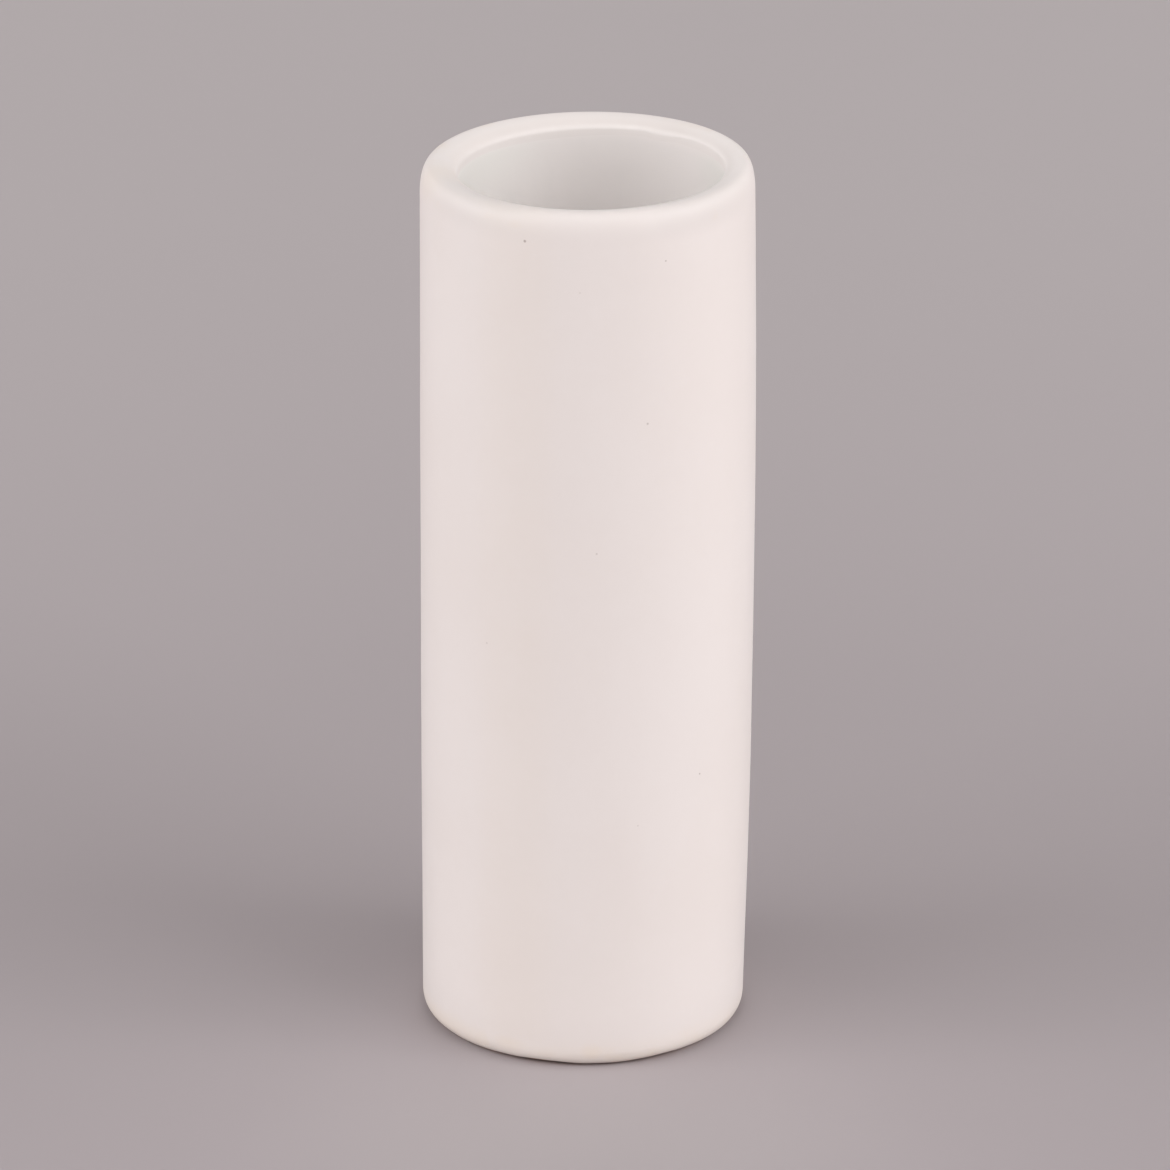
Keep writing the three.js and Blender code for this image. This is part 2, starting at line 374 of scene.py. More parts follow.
    def coat_section(self, turn):
        """The satin glaze: up the foot and the side, over the lip, down the bore and back."""
        form, glaze = self.form, self.glaze
        start = self.foot_angle(self.foot_line(turn))
        arc = (math.pi / 2 - start) * form.foot_rounding
        low, edge = self.edge_height(turn), self.bore_line(turn)
        roll = [glaze.roll * (1 - math.cos(bend)) for bend in spread(0, math.pi / 2, ROLL_ROWS)]
        points = []
        for past in roll + spread(glaze.roll, arc, FOOT_ROWS)[1:]:
            points.append(self.foot(self.rolled(past), start + past / form.foot_rounding))
        points += self.side(0, form.foot_rounding, self.shoulder, SIDE_ROWS)[1:]
        points += self.lip(0, low, form.inner_pull)[1:]
        points += self.bore_side(glaze.coat, low, edge, EDGE_ROWS)
        points += self.lap_face(edge, 0, glaze.lap, LAP_ROWS)
        points += self.lip(glaze.coat, self.lip_edge, form.side_pull)[::-1]
        points += self.side(glaze.coat, form.foot_rounding, self.shoulder, HIDDEN_ROWS)[-2::-1]
        points += [self.foot(0, bend) for bend in spread(math.pi / 2, start, FOOT_ROWS)[1:-1]]
        return points

    def liner_section(self, turn):
        """The liner glaze: out over the floor, up the bore under the lap, and back down."""
        form, glaze = self.form, self.glaze
        corner = self.bore_radius - form.coil
        edge = self.bore_line(turn)
        points = [(r, form.base) for r in spread(0, corner, FOOT_ROWS)]
        points += self.coil_face(form.coil, 0, math.pi / 2)
        points += self.bore_side(0, self.coil_top, edge + glaze.lap, SIDE_ROWS)
        points += self.lap_face(edge, glaze.lap, -glaze.lap, 2 * LAP_ROWS)
        points += self.bore_side(glaze.liner, edge - glaze.lap, self.coil_top, SIDE_ROWS)
        points += self.coil_face(form.coil - glaze.liner, math.pi / 2, 0)
        points += [(r, form.base + glaze.liner) for r in spread(corner, 0, FOOT_ROWS)[1:]]
        return points

    def base_section(self, turn):
        """The base: the pressed-in underside, the foot ring, the rounding and the scored rim."""
        form, glaze = self.form, self.glaze
        ring = self.foot_centre - form.foot_ring
        recess = ring - form.recess_slope
        points = [(r, form.recess_depth) for r in spread(0, recess, 2 * FOOT_ROWS)]
        for part in spread(0, 1, FOOT_ROWS)[1:]:
            points.append((recess + form.recess_slope * part, form.recess_depth * (1 - smooth(0, 1, part))))
        points += [(r, 0) for r in spread(ring, self.foot_centre, FOOT_ROWS)[1:]]
        points += [self.foot(0, bend) for bend in spread(0, math.pi / 2, 2 * FOOT_ROWS)[1:]]
        outer = self.outer(form.base) - glaze.coat
        points.append((outer, form.base))
        pitch = (outer - self.bore_radius) / SCORE_RINGS
        for ring_number in reversed(range(SCORE_RINGS)):
            middle = self.bore_radius + pitch * (ring_number + 0.5)
            points.append((middle + form.score_width / 2, form.base))
            points.append((middle, form.base - form.score_depth))
            points.append((middle - form.score_width / 2, form.base))
        points += [(r, form.base) for r in spread(self.bore_radius, 0, FOOT_ROWS)]
        return points

    def settle(self, radius, turn, height):
        """Where the hand has left a point of the true round form."""
        form = self.form
        rise = height / form.height
        drift = clamp((self.outer(height) - radius) / (self.bore_depth + self.glaze.liner)) * rise
        x = radius * math.cos(turn) + form.bore_drift_x * drift + form.bow * arch(rise)
        y = radius * math.sin(turn) + form.bore_drift_y * drift
        point = Vector((x, y, height + form.rim_rise * rise * x / form.lip_radius))
        hollows = noise.noise_vector(point / LARGE_HOLLOW)
        hollows += noise.noise_vector(point / SMALL_HOLLOW) * SMALL_SHARE
        hollows.z *= UPRIGHT_SHARE
        return point + hollows * form.hand * smooth(0, HOLLOWS_FULL, height)


def add_object(name, data):
    """A new object in the scene."""
    added = bpy.data.objects.new(name, data)
    bpy.context.scene.collection.objects.link(added)
    return added


def add_mesh(name, points, faces):
    """A new smooth mesh object in the scene."""
    mesh = bpy.data.meshes.new(name)
    mesh.from_pydata(points, [], faces)
    mesh.shade_smooth()
    return add_object(name, mesh)


def turned(name, section, settle):
    """A closed mesh object from a section at each turn. A section ends on the axis or closes on itself."""
    turns = [math.tau * i / TURN_STEPS for i in range(TURN_STEPS)]
    sections = [section(turn) for turn in turns]
    last = len(sections[0]) - 1
    solid = sections[0][0][0] == 0
    rows = range(1, last) if solid else range(last + 1)
    points = [settle(line[j][0], turn, line[j][1]) for turn, line in zip(turns, sections) for j in rows]
    count = len(rows)
    first_pole = len(points)
    faces = []
    for i in range(TURN_STEPS):
        here, there = i * count, (i + 1) % TURN_STEPS * count
        for j in range(count - 1 if solid else count):
            up = (j + 1) % count
            faces.append((here + j, there + j, there + up, here + up))
        if solid:
            faces.append((first_pole, there, here))
            faces.append((here + count - 1, there + count - 1, first_pole + 1))
    if solid:
        points += [settle(0, 0, sections[0][0][1]), settle(0, 0, sections[0][last][1])]
    piece = add_mesh(name, points, faces)
    piece.data.set_sharp_from_angle(angle=math.radians(SHARP_ANGLE))
    return piece


class Wire:
    """A shader's socket that takes part in Python's arithmetic: each step adds a Math node."""

    def __init__(self, shader, socket):
        self.shader = shader
        self.socket = socket

    def maths(self, operation, *values):
        """What a Math node makes of these values."""
        return self.shader.add("ShaderNodeMath", {"operation": operation}, dict(enumerate(values)))

    def __add__(self, other):
        return self.maths("ADD", self, other)

    def __sub__(self, other):
        return self.maths("SUBTRACT", self, other)

    def __rsub__(self, other):
        return self.maths("SUBTRACT", other, self)

    def __mul__(self, other):
        return self.maths("MULTIPLY", self, other)

    def __pow__(self, other):
        return self.maths("POWER", self, other)

    def __rpow__(self, other):
        return self.maths("POWER", other, self)

    def __or__(self, other):
        return self.maths("MAXIMUM", self, other)

    __radd__ = __add__
    __rmul__ = __mul__
    __ror__ = __or__


class Shader:
    """A material or a world under construction."""

    def __init__(self, owner):
        self.owner = owner
        owner.use_nodes = True
        self.tree = owner.node_tree
        self.tree.nodes.clear()

    def add(self, kind, settings=(), inputs=(), output=0):
        """Adds a node, gives it its settings, then its sockets' values or links."""
        node = self.tree.nodes.new(kind)
        for key, value in dict(settings).items():
            setattr(node, key, value)
        for key, value in dict(inputs).items():
            socket = node.inputs[key] if isinstance(key, int) else self.find(node.inputs, key)
            if isinstance(value, Wire):
                self.tree.links.new(value.socket, socket)
            else:
                socket.default_value = value
        found = node.outputs[output] if isinstance(output, int) else self.find(node.outputs, output)
        return Wire(self, found)

    def find(self, sockets, key):
        """The socket with that identifier or name."""
        return next(s for s in sockets if s.identifier == key or s.name == key)

    def place(self):
        """The point on the piece, in metres in the vase's frame."""
        return self.add("ShaderNodeTexCoord", output="Object")

    def split(self, vector):
        """The three numbers of a vector."""
        return [self.add("ShaderNodeSeparateXYZ", (), {0: vector}, axis) for axis in (0, 1, 2)]

    def stretch(self, vector, x, y, z):
        """A vector whose numbers are each multiplied."""
        return self.add("ShaderNodeVectorMath", {"operation": "MULTIPLY"}, {0: vector, 1: (x, y, z)})

    def noise(self, vector, grain, detail, roughness, seed):
        """Soft noise about 0.5, with marks about a grain in metres across."""
        inputs = {"Vector": vector, "W": seed, "Scale": 1 / grain, "Detail": detail, "Roughness": roughness}
        return self.add("ShaderNodeTexNoise", {"noise_dimensions": "4D"}, inputs)

    def cells(self, vector, grain, output, settings=()):
        """Scattered cells about a grain in metres across: the distance to the middle, or a colour."""
        inputs = {"Vector": vector, "Scale": 1 / grain, "Randomness": 1.0}
        return self.add("ShaderNodeTexVoronoi", settings, inputs, output)

    def step(self, value, low, high):
        """0 at low and 1 at high, with a smooth step between."""
        inputs = {"Value": value, "From Min": low, "From Max": high}
        return self.add("ShaderNodeMapRange", {"interpolation_type": "SMOOTHSTEP"}, inputs)

    def fade(self, value, low, high):
        """1 at low and 0 at high, with a smooth step between."""
        return 1 - self.step(value, low, high)

    def mix(self, a, b, factor):
        """The colour a, or b where the factor is 1."""
        colours = {"A_Color": a, "B_Color": b}
        inputs = {key: value if isinstance(value, Wire) else (*value, 1) for key, value in colours.items()}
        inputs["Factor_Float"] = factor
        return self.add("ShaderNodeMix", {"data_type": "RGBA"}, inputs, "Result_Color")

    def distance(self, vector, point):
        """How far the place is from a point."""
        return self.add("ShaderNodeVectorMath", {"operation": "DISTANCE"}, {0: vector, 1: point}, "Value")

    def relief(self, height, depth):
        """A normal bent by a height field of that depth in metres."""
        return self.add("ShaderNodeBump", (), {"Height": height, "Distance": depth, "Strength": 1.0})

    def surface(self, **inputs):
        """The surface of the material: underscores in the sockets' names stand for spaces."""
        named = {key.replace("_", " "): value for key, value in inputs.items()}
        finish = self.add("ShaderNodeBsdfPrincipled", (), named)
        self.add_output("ShaderNodeOutputMaterial", finish)
        return self.owner

    def add_output(self, kind, finish):
        """The last node, which takes the finished surface."""
        node = self.tree.nodes.new(kind)
        self.tree.links.new(finish.socket, node.inputs["Surface"])


# Noises of the glazes and the clay: grain in metres, detail, roughness and seed
SATIN_CLOUD = (38 * MM, 3.0, 0.5, 0.0)
SATIN_STREAK = (7 * MM, 2.0, 0.5, 3.0)
SATIN_MOTTLE = (2.4 * MM, 3.0, 0.6, 5.0)
SATIN_PATCHES = (9 * MM, 3.0, 0.6, 7.0)
SATIN_PEEL = (0.9 * MM, 2.0, 0.5, 11.0)
SATIN_SWELL = (6 * MM, 2.0, 0.5, 13.0)
SATIN_PITS = (0.35 * MM, 1.0, 0.5, 17.0)
LINER_CLOUD = (24 * MM, 3.0, 0.5, 0.0)
LINER_STREAK = (5 * MM, 2.0, 0.5, 2.0)
LINER_SWELL = (5 * MM, 2.0, 0.5, 4.0)
CLAY_CLOUD = (14 * MM, 4.0, 0.6, 0.0)
CLAY_GRAIN = (0.45 * MM, 3.0, 0.7, 4.0)
CLAY_PORES = (0.3 * MM, 1.0, 0.5, 8.0)

# How far streaks are drawn out up the vase: the smaller, the longer
SATIN_STRETCH, LINER_STRETCH = 0.12, 0.15

# Levels of a noise, or of a cell, between which a mark sets in
SHADE_LEVELS = (0.36, 0.66)
FOOT_PATCH_LEVELS = (0.40, 0.66)
SHOULDER_PATCH_LEVELS = (0.55, 0.72)
POLISH_LEVELS = (0.2, 0.8)
PIT_LEVELS = (0.74, 0.82)
DOT_LEVELS = (0.014, 0.030)
CHOSEN_LEVELS = (0.83, 0.84)
THICK_LINER_LEVELS = (0.42, 0.7)
DARK_CLAY_LEVELS = (0.38, 0.68)
GROG_LEVELS = (0.10, 0.22)
PORE_LEVELS = (0.66, 0.76)

# Heights in metres between which a mark, a painted shade or a painted light begins or ends, from the foot
# up, and where the lip turns in
THIN_FOOT = (0.0012, 0.0075)
FOOT_SHADE_HEIGHTS = (0.0012, 0.0060)
FOOT_WIDE_SHADE_HEIGHTS = (0.0040, 0.0130)
LINER_CORNER = (0.0078, 0.0125)
UPPER_PART = (0.1, 0.11)
UNDER_LIP_SHADE_HEIGHTS = (0.160, 0.1775)
LIP_HEIGHTS = (0.170, 0.171)
SHOULDER_SHADE_HEIGHTS = (0.1725, 0.1775)
DOTS_TOP = (0.1740, 0.1750)
THIN_SHOULDER = (0.1745, 0.1775)
INSIDE_LIGHT_HEIGHTS = (0.1750, 0.1775)
INSIDE_SHADE_HEIGHTS = (0.1755, 0.1772)
GLOSSY_INSIDE = (0.1766, 0.1784)
LIP_TURNS_IN = 0.178

# Distances in metres from the axis, and from the middle of the bore at the lip
SHOULDER_RADII = (0.0275, 0.0300)
CREST_RADII = (0.0304, 0.0320)
INWARD_RADII = (0.0261, 0.0270)
ROUNDING_RADII = (0.0262, 0.0285)
CALM_RADII = (0.0266, 0.0280)

# How many millimetres the mottle shifts the line where the inside's colour begins
MOTTLED_LINE = 0.3

# Places in metres from left to right, and squares of the distance from such a place or from the middle
RUN_PLACE = -0.0135
RIGHT_SIDE = (-0.01, 0.01)
LEFT_INSIDE = (-0.022, 0.010)
LEFT_LINER = (-0.022, -0.004)
RIGHT_LINER = (0.020, 0.026)
RUN_SQUARES = (0, 0.00008)
ASIDE_SQUARES = (0.00005, 0.0003)
ENDS_SQUARES = (0.0002, 0.0005)
CREST_LIGHT_SQUARES = (0.0002, 0.0006)

# Places in metres from front to back
RUN_DEPTHS = (-0.025, -0.015)
FRONT_DEPTHS = (-0.022, -0.004)
BACK_DEPTHS = (-0.008, 0.004)

# Tan where the clay shows through: by the patches, and the least that there is
FOOT_TAN, FOOT_TAN_LEAST = 0.42, 0.22
SHOULDER_TAN = 0.25
RUN_TAN, RUN_TAN_LEAST = 0.08, 0.06
TOUCH_TAN, TOUCH_TAN_LEAST = 1.2, 0.4

# Strength of the painted shade on the front shoulder, the lip's rounding, the foot and the left inside, and
# of the painted light on the crest and inside the lip
ASIDE_PAINTED_SHADE, FRONT_PAINTED_SHADE = 0.23, 0.2
ROUNDING_PAINTED_SHADE, LESS_AT_ENDS = 0.35, 0.15
FOOT_PAINTED_SHADE, FOOT_WIDE_PAINTED_SHADE = 0.45, 0.12
INSIDE_PAINTED_SHADE, INSIDE_PAINTED_LIGHT = 0.25, 0.4
CREST_LIGHT_RIGHT, CREST_LIGHT_BOTH = 0.4, 0.3

# Specks: the dark core as a share of the radius, and for the scattered ones the size of their cells,
# and how dark the darkest are beyond the palest
SPECK_CORE = 0.35
DOT_SPACING = 13 * MM
DOT_RANGE, DOT_PALEST = 0.35, 0.25

# How much of each noise goes into the satin glaze's shade, polish and relief
SHADE_CLOUD, SHADE_STREAK, SHADE_MOTTLE = 0.7, 0.15, 0.15
POLISH_CLOUD, POLISH_MOTTLE, POLISH_CALM = 0.05, 0.06, 0.12
RELIEF_PEEL, RELIEF_PITS, RELIEF_MARKS = 0.16, 0.2, 0.4

# The same for the liner, with how much its corner and patches are pooled, and how strongly painted shade
# darkens its top, greenish at both ends
PATCH_CLOUD, PATCH_STREAK, LINER_POLISH = 0.6, 0.4, 0.06
POOLED_CORNER, POOLED_PATCHES = 0.55, 0.2
GREEN_SHADE_LEFT, GREEN_SHADE_RIGHT = 0.8, 0.7
LINER_TOP_SHADE = 0.9

# The same for the clay
DARK_CLOUD, DARK_GRAIN, CLAY_POLISH = 0.65, 0.35, 0.12
RELIEF_GRAIN, RELIEF_GROG, RELIEF_PORES = 0.6, 0.4, 0.5

# Depth in metres of the relief of the glazes and of the clay
GLAZE_RELIEF = 0.05 * MM
CLAY_RELIEF = 0.09 * MM

# Size in metres and colour of the grog, and how much of it shows in each clay
GROG_GRAIN = 1.3 * MM
GROG_COLOUR = (0.66, 0.47, 0.33)
BARE_GRIT, WALL_GRIT, SLIP_GRIT = 0.35, 0.25, 0.05

# Places where the clay warms the glaze: turn in degrees, height, width and reach in millimetres, strength
TOUCHES = [
    (245.0, 177.2, 3.5, 2.0, 0.22),
    (249.0, 172.0, 5.0, 7.0, 0.12),
    (161.0, 179.2, 4.0, 4.0, 0.34),
    (192.0, 179.6, 10.0, 7.0, 0.22),
    (243.0, 3.6, 7.0, 3.6, 0.34),
    (257.0, 2.8, 7.0, 2.6, 0.30),
    (273.0, 3.4, 4.5, 3.2, 0.46),
]

# Specks that show from the front: turn in degrees, height and radius in millimetres, darkness
SPECKS = [
    (248.6, 174.2, 0.38, 0.52),
    (297.3, 169.6, 0.24, 0.42),
    (267.5, 164.5, 0.27, 0.13),
    (290.5, 137.0, 0.31, 0.34),
    (273.1, 110.9, 0.29, 0.26),
    (233.7, 89.6, 0.25, 0.25),
    (312.8, 60.7, 0.26, 0.45),
    (288.2, 52.6, 0.24, 0.20),
]


def material(name):
    """A new material to build."""
    return Shader(bpy.data.materials.new(name))


def thin_glaze(shader, shape, place, radius):
    """How much clay shows through: along the foot, on the shoulder, in one run and at the touches."""
    x, y, height = shader.split(place)
    patches = shader.noise(place, *SATIN_PATCHES)
    on_foot = shader.fade(height, *THIN_FOOT)
    thin = on_foot * (shader.step(patches, *FOOT_PATCH_LEVELS) * FOOT_TAN | FOOT_TAN_LEAST)
    on_shoulder = shader.step(height, *THIN_SHOULDER) * shader.step(radius, *SHOULDER_RADII)
    thin = thin | on_shoulder * shader.step(patches, *SHOULDER_PATCH_LEVELS) * SHOULDER_TAN
    off = x - RUN_PLACE
    run = shader.fade(off * off, *RUN_SQUARES) * shader.fade(y, *RUN_DEPTHS)
    thin = thin | run * (patches * RUN_TAN + RUN_TAN_LEAST)
    for turn, level, width, reach, strength in TOUCHES:
        up = level * MM
        out = min(shape.outer(up), shape.form.lip_radius - max(0, up - LIP_TURNS_IN))
        middle = shape.settle(out, math.radians(turn), up)
        ratio = width / reach
        near = shader.distance(shader.stretch(place, 1, 1, ratio), (middle.x, middle.y, middle.z * ratio))
        touch = shader.fade(near, 0, width * MM) * (TOUCH_TAN_LEAST + patches * TOUCH_TAN) * strength
        thin = thin | touch
    return thin


def painted_lip_and_foot_shade(shader, x, height, front, from_bore):
    """Painted shade: on the front of the shoulder, on the lip's inner rounding (less at its ends) and low on
    the outside near the foot.
    """
    aside = shader.step(x * x, *ASIDE_SQUARES)
    ends = shader.step(x * x, *ENDS_SQUARES) * (1 - front)
    rounding = shader.fade(from_bore, *ROUNDING_RADII) * shader.step(height, *LIP_HEIGHTS)
    drawn = front * shader.step(height, *SHOULDER_SHADE_HEIGHTS) * (aside * ASIDE_PAINTED_SHADE + FRONT_PAINTED_SHADE)
    drawn = drawn | rounding * (ROUNDING_PAINTED_SHADE - ends * LESS_AT_ENDS)
    drawn = drawn | shader.fade(height, *FOOT_SHADE_HEIGHTS) * FOOT_PAINTED_SHADE
    return drawn | shader.fade(height, *FOOT_WIDE_SHADE_HEIGHTS) * FOOT_WIDE_PAINTED_SHADE


def painted_crest_light(shader, x, height, front, radius):
    """Painted light on the crest's sides, away from the front, and more on the right."""
    crest = shader.fade(radius, *CREST_RADII) * shader.step(height, *LIP_HEIGHTS)
    rightward = shader.step(x, *RIGHT_SIDE) * CREST_LIGHT_RIGHT + CREST_LIGHT_BOTH
    return crest * (1 - front) * shader.step(x * x, *CREST_LIGHT_SQUARES) * rightward


def iron_specks(shader, shape, place):
    """The specks that show from the front, each in its place, and others scattered over the back."""
    marks = 0.0
    for turn, level, reach, darkness in SPECKS:
        spot = shape.settle(shape.outer(level * MM), math.radians(turn), level * MM)
        near = shader.fade(shader.distance(place, spot), reach * SPECK_CORE * MM, reach * MM)
        marks = near * darkness + marks
    x, y, height = shader.split(place)
    around = x.maths("ARCTAN2", x, y) * shape.form.lip_radius
    skin = shader.add("ShaderNodeCombineXYZ", (), {0: around, 1: height})
    flat = {"voronoi_dimensions": "2D"}
    scattered = shader.cells(skin, DOT_SPACING, "Distance", flat)
    chosen, tone, _ = shader.split(shader.cells(skin, DOT_SPACING, "Color", flat))
    at_back = shader.step(y, *BACK_DEPTHS) * shader.fade(height, *DOTS_TOP)
    dots = shader.fade(scattered, *DOT_LEVELS) * shader.step(chosen, *CHOSEN_LEVELS) * at_back
    return marks + dots * (tone * DOT_RANGE + DOT_PALEST)


def inner_lip(shader, finish, x, height):
    """The colour of the satin glaze inside the lip, with painted light just under its edge and painted shade
    on the left.
    """
    thick = shader.mix(finish.top, finish.thick, shader.step(height, *INSIDE_LIGHT_HEIGHTS) * INSIDE_PAINTED_LIGHT)
    left_painted_shade = shader.fade(x, *LEFT_INSIDE) * shader.step(height, *INSIDE_SHADE_HEIGHTS)
    return shader.mix(thick, finish.lip, left_painted_shade * INSIDE_PAINTED_SHADE)


def satin_glaze(scene):
    """White satin glaze: clouded, a little streaked, tan where it runs thin, with iron specks, painted light
    on the crest and painted shade on the lip and near the foot.
    """
    form, finish, shape = scene.vase_form, scene.vase_finish, Shape(scene)
    shader = material("Satin glaze")
    place = shader.place()
    x, y, height = shader.split(place)
    radius = (x * x + y * y) ** 0.5
    from_bore = shader.distance(shader.stretch(place, 1, 1, 0), (form.bore_drift_x, form.bore_drift_y, 0))
    front = shader.fade(y, *FRONT_DEPTHS)

    cloud = shader.noise(place, *SATIN_CLOUD)
    streak = shader.noise(shader.stretch(place, 1, 1, SATIN_STRETCH), *SATIN_STREAK)
    mottle = shader.noise(place, *SATIN_MOTTLE)
    shade = cloud * SHADE_CLOUD + streak * SHADE_STREAK + mottle * SHADE_MOTTLE
    white = shader.mix(finish.satin, finish.satin_shade, shader.step(shade, *SHADE_LEVELS))
    # Painted light on the crest's sides, then painted shade on the lip and near the foot
    white = shader.mix(white, finish.thick, painted_crest_light(shader, x, height, front, radius))
    drawn = shader.mix(white, finish.lip, painted_lip_and_foot_shade(shader, x, height, front, from_bore))
    tinted = shader.mix(drawn, finish.thin, thin_glaze(shader, shape, place, radius))
    marks = iron_specks(shader, shape, place)
    marked = shader.mix(tinted, finish.iron, marks)

    upper = shader.step(height, *UPPER_PART)
    inward = shader.fade(from_bore + mottle * MOTTLED_LINE * MM, *INWARD_RADII) * upper
    calm = shader.fade(from_bore, *CALM_RADII) * upper
    glossy = inward * shader.fade(height, *GLOSSY_INSIDE)
    polish = shader.step(cloud, *POLISH_LEVELS) * POLISH_CLOUD + mottle * POLISH_MOTTLE
    polish = polish + (finish.satin_roughness - POLISH_CLOUD) + calm * POLISH_CALM
    swell = shader.noise(place, *SATIN_SWELL)
    peel = shader.noise(place, *SATIN_PEEL)
    pits = shader.step(shader.noise(place, *SATIN_PITS), *PIT_LEVELS)
    field = swell + (peel * RELIEF_PEEL - pits * RELIEF_PITS) * (1 - calm) - marks * RELIEF_MARKS
    return shader.surface(
        Base_Color=shader.mix(marked, inner_lip(shader, finish, x, height), inward),
        Roughness=polish - glossy * (finish.satin_roughness - finish.liner_roughness),
        Normal=shader.relief(field, GLAZE_RELIEF),
        IOR=1.5,
        Specular_IOR_Level=0.32,
    )


def liner_glaze(scene):
    """Liner glaze: glossier and cooler than the outside, pooled grey in the corner of the floor, with
    painted shade and painted light at its top.
    """
    finish = scene.vase_finish
    shader = material("Liner glaze")
    place = shader.place()
    x, _, height = shader.split(place)
    cloud = shader.noise(place, *LINER_CLOUD)
    streak = shader.noise(shader.stretch(place, 1, 1, LINER_STRETCH), *LINER_STREAK)
    corner = shader.fade(height, *LINER_CORNER)
    patches = shader.step(cloud * PATCH_CLOUD + streak * PATCH_STREAK, *THICK_LINER_LEVELS)
    white = shader.mix(finish.liner, finish.pool, corner * POOLED_CORNER + patches * POOLED_PATCHES)
    # Painted shade under the lip, greenish and darker at both ends of the mouth
    greenish = shader.fade(x, *LEFT_LINER) * GREEN_SHADE_LEFT + shader.step(x, *RIGHT_LINER) * GREEN_SHADE_RIGHT
    top = shader.mix(finish.top, finish.pool, greenish)
    # Painted light at the very top of the bore
    top = shader.mix(top, finish.thick, shader.step(height, *INSIDE_LIGHT_HEIGHTS) * INSIDE_PAINTED_LIGHT)
    return shader.surface(
        Base_Color=shader.mix(white, top, shader.step(height, *UNDER_LIP_SHADE_HEIGHTS) * LINER_TOP_SHADE),
        Roughness=streak * LINER_POLISH + finish.liner_roughness,
        Normal=shader.relief(shader.noise(place, *LINER_SWELL), GLAZE_RELIEF),
        IOR=1.52,
        Specular_IOR_Level=0.4,
    )


def fired_clay(scene, name, light, dark, grit):
    """Bare fired clay: clouded, with fine grog and open pores."""
    shader = material(name)
    place = shader.place()
    cloud = shader.noise(place, *CLAY_CLOUD)
    grain = shader.noise(place, *CLAY_GRAIN)
    grog = shader.fade(shader.cells(place, GROG_GRAIN, "Distance"), *GROG_LEVELS)
    pores = shader.step(shader.noise(place, *CLAY_PORES), *PORE_LEVELS)
    tone = shader.mix(light, dark, shader.step(cloud * DARK_CLOUD + grain * DARK_GRAIN, *DARK_CLAY_LEVELS))
    field = grain * RELIEF_GRAIN + grog * RELIEF_GROG - pores * RELIEF_PORES
    return shader.surface(
        Base_Color=shader.mix(tone, GROG_COLOUR, grog * grit),
        Roughness=grain * CLAY_POLISH + (scene.vase_finish.clay_roughness - CLAY_POLISH / 2),
        Normal=shader.relief(field, CLAY_RELIEF),
    )


def dress(piece, finish):
    """Gives a piece its one material."""
    piece.data.materials.clear()
    piece.data.materials.append(finish)


def add_piece(name, section, scene, finish, node):
    """Builds a fine piece in place of a node of the construction model."""
    piece = turned(name, section, Shape(scene).settle)
    dress(piece, finish)
    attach(piece, "root")
    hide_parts(node)


class VASE_OT_outer_glaze(bpy.types.Operator):
    """Builds the satin glaze that covers the outside and the lip"""

    bl_idname = "vase.outer_glaze"
    bl_label = "Outer glaze"

    def execute(self, context):
        scene = context.scene
        section = Shape(scene).coat_section
        add_piece("outer_glaze_coat", section, scene, satin_glaze(scene), "outer_glaze")
        return {"FINISHED"}


class VASE_OT_liner_glaze(bpy.types.Operator):
    """Builds the glossier glaze that lines the bore and the floor"""

    bl_idname = "vase.liner_glaze"
    bl_label = "Liner glaze"

    def execute(self, context):
        scene = context.scene
        section = Shape(scene).liner_section
        add_piece("liner_glaze_coat", section, scene, liner_glaze(scene), "liner_glaze")
        return {"FINISHED"}


class VASE_OT_base(bpy.types.Operator):
    """Builds the round base with its bare foot and pressed-in underside"""

    bl_idname = "vase.base"
    bl_label = "Base"

    def execute(self, context):
        scene, finish = context.scene, context.scene.vase_finish
        clay = fired_clay(scene, "Bare terracotta", finish.clay, finish.clay_dark, BARE_GRIT)
        add_piece("footed_base", Shape(scene).base_section, scene, clay, "base")
        return {"FINISHED"}


class VASE_OT_clay(bpy.types.Operator):
    """Gives the wall, the inner coil and the luting slip their clay"""

    bl_idname = "vase.clay"
    bl_label = "Inner clay"

    def execute(self, context):
        scene, finish = context.scene, context.scene.vase_finish
        body = fired_clay(scene, "Wall clay", finish.clay, finish.clay_dark, WALL_GRIT)
        slip = fired_clay(scene, "Slip clay", finish.slip, finish.clay_dark, SLIP_GRIT)
        for node, clay in (("wall", body), ("inner_coil", body), ("luting_slip", slip)):
            dress(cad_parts[node], clay)
        return {"FINISHED"}


# The floor and its sweep, in metres, and their rows
FLOOR_REACH = 5.0
SWEEP_RADIUS = 0.3
FLOOR_TURNS = 96
SWEEP_ROWS = 16

# The floor's paper: its fibre as a noise, how far the fibre shifts the painted light far behind, the middle
# and the reach of the painted light in front of the vase, and how far back the far painted light sets in, in
# metres
FLOOR_FIBRE = (0.22, 3.0, 0.5, 0.0)
FIBRE_SHIFT = 0.1
FRONT_LIGHT_MIDDLE = (0, -0.080, 0)
FRONT_LIGHT_REACH = (0.015, 0.080)
FAR_LIGHT_DEPTHS = (0.0, 0.75)

# Lamps: name, whose power each takes, turn from the front to the right and rise in degrees, width and
# height in metres
LAMPS = [
    ("Left lamp", "left", -65, 15.5, 1.4, 1.0),
    ("Right lamp", "right", 60, 17.5, 1.4, 1.0),
    ("Left side lamp", "beside", -92, 22, 1.4, 1.0),
    ("Right side lamp", "beside", 92, 22, 1.4, 1.0),
    ("Back lamp", "behind", 180, 40, 0.9, 0.9),
]

# Edges of the room's two lights, in the numbers of a direction of length 1
HIGH_BOTTOM, HIGH_TOP = (0.45, 0.55), (0.70, 0.80)
HIGH_FRONT = (-0.15, 0.15)
LOW_TOP = (0.15, 0.35)
LOW_BACK = (0.15, 0.5)

